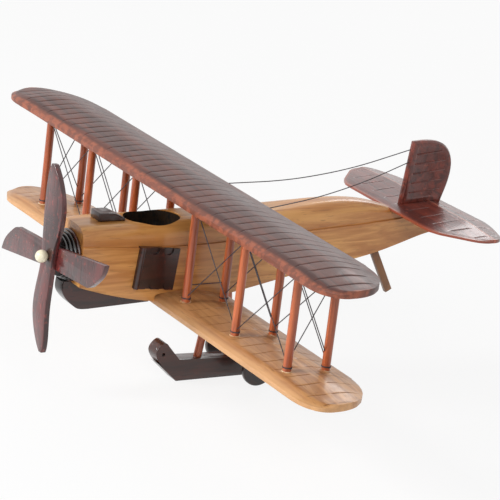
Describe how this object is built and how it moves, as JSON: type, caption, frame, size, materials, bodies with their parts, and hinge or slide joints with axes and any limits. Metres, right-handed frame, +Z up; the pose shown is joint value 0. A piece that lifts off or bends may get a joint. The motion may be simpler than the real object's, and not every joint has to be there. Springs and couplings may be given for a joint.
{
  "type": "wooden biplane scale model",
  "caption": "Carved wooden display biplane with dowel struts, thread rigging, crossed-board propeller, carved tail and a ski between small wheels.",
  "frame": {"origin": "middle of the bounding box's footprint, on the surface that the ski and the wheels stand on", "axes": "the nose looks along -Y and the tail along +Y, the port wing is along +X, and +Z is up"},
  "size_m": [0.396, 0.2858, 0.1438],
  "materials": {
    "strut_wood": "satin orange-brown varnish",
    "thread": "dull thread",
    "black_ring": "gloss black lacquer",
    "brown_ring": "gloss dark brown lacquer",
    "mahogany": "satin mahogany stain",
    "pale_wood": "satin pale wood",
    "honey_wood": "gloss honey varnish",
    "propeller_wood": "gloss dark red stain",
    "bead_wood": "satin pale bead",
    "dark_wood": "satin near-black brown stain"
  },
  "bodies": {
    "airframe": {"axle": "strut_wood", "axle_cap_port": "dark_wood", "axle_cap_starboard": "dark_wood", "axle_collar_port": "dark_wood", "axle_collar_starboard": "dark_wood", "chin_keel": "dark_wood", "cockpit_seat": "dark_wood", "deck_block": "dark_wood", "fin": "mahogany", "fuselage": "honey_wood", "lower_wing": "pale_wood", "nose_ring_1": "black_ring", "nose_ring_2": "black_ring", "nose_ring_3": "black_ring", "nose_ring_4": "brown_ring", "rigging_centre": "thread", "rigging_front_bay_1_port": "thread", "rigging_front_bay_1_starboard": "thread", "rigging_front_bay_2_port": "thread", "rigging_front_bay_2_starboard": "thread", "rigging_rear_bay_1_port": "thread", "rigging_rear_bay_1_starboard": "thread", "rigging_rear_bay_2_port": "thread", "rigging_rear_bay_2_starboard": "thread", "rigging_side_port": "thread", "rigging_side_starboard": "thread", "rigging_tail": "thread", "rigging_tie_port": "thread", "rigging_tie_starboard": "thread", "side_plate_port": "dark_wood", "side_plate_starboard": "dark_wood", "ski": "dark_wood", "ski_leg_front": "strut_wood", "ski_leg_rear": "strut_wood", "strut_front_1_port": "strut_wood", "strut_front_1_starboard": "strut_wood", "strut_front_2_port": "strut_wood", "strut_front_2_starboard": "strut_wood", "strut_front_3_port": "strut_wood", "strut_front_3_starboard": "strut_wood", "strut_rear_1_port": "strut_wood", "strut_rear_1_starboard": "strut_wood", "strut_rear_2_port": "strut_wood", "strut_rear_2_starboard": "strut_wood", "strut_rear_3_port": "strut_wood", "strut_rear_3_starboard": "strut_wood", "tail_skid": "strut_wood", "tailplane": "mahogany", "upper_wing": "mahogany"},
    "propeller": {"propeller_back_board": "propeller_wood", "propeller_bead": "bead_wood", "propeller_front_board": "propeller_wood", "propeller_shaft": "propeller_wood"},
    "port_wheel": {"wheel_port": "dark_wood"},
    "starboard_wheel": {"wheel_starboard": "dark_wood"}
  },
  "joints": [
    {"name": "propeller_spin", "type": "hinge", "parent": "airframe", "child": "propeller", "pos_m": [0, -0.13305, 0.0838], "axis": [0, 1, 0], "continuous": true},
    {"name": "port_wheel_spin", "type": "hinge", "parent": "airframe", "child": "port_wheel", "pos_m": [0.0224, 0.00395, 0.0108], "axis": [1, 0, 0], "continuous": true},
    {"name": "starboard_wheel_spin", "type": "hinge", "parent": "airframe", "child": "starboard_wheel", "pos_m": [-0.0224, 0.00395, 0.0108], "axis": [1, 0, 0], "continuous": true}
  ]
}
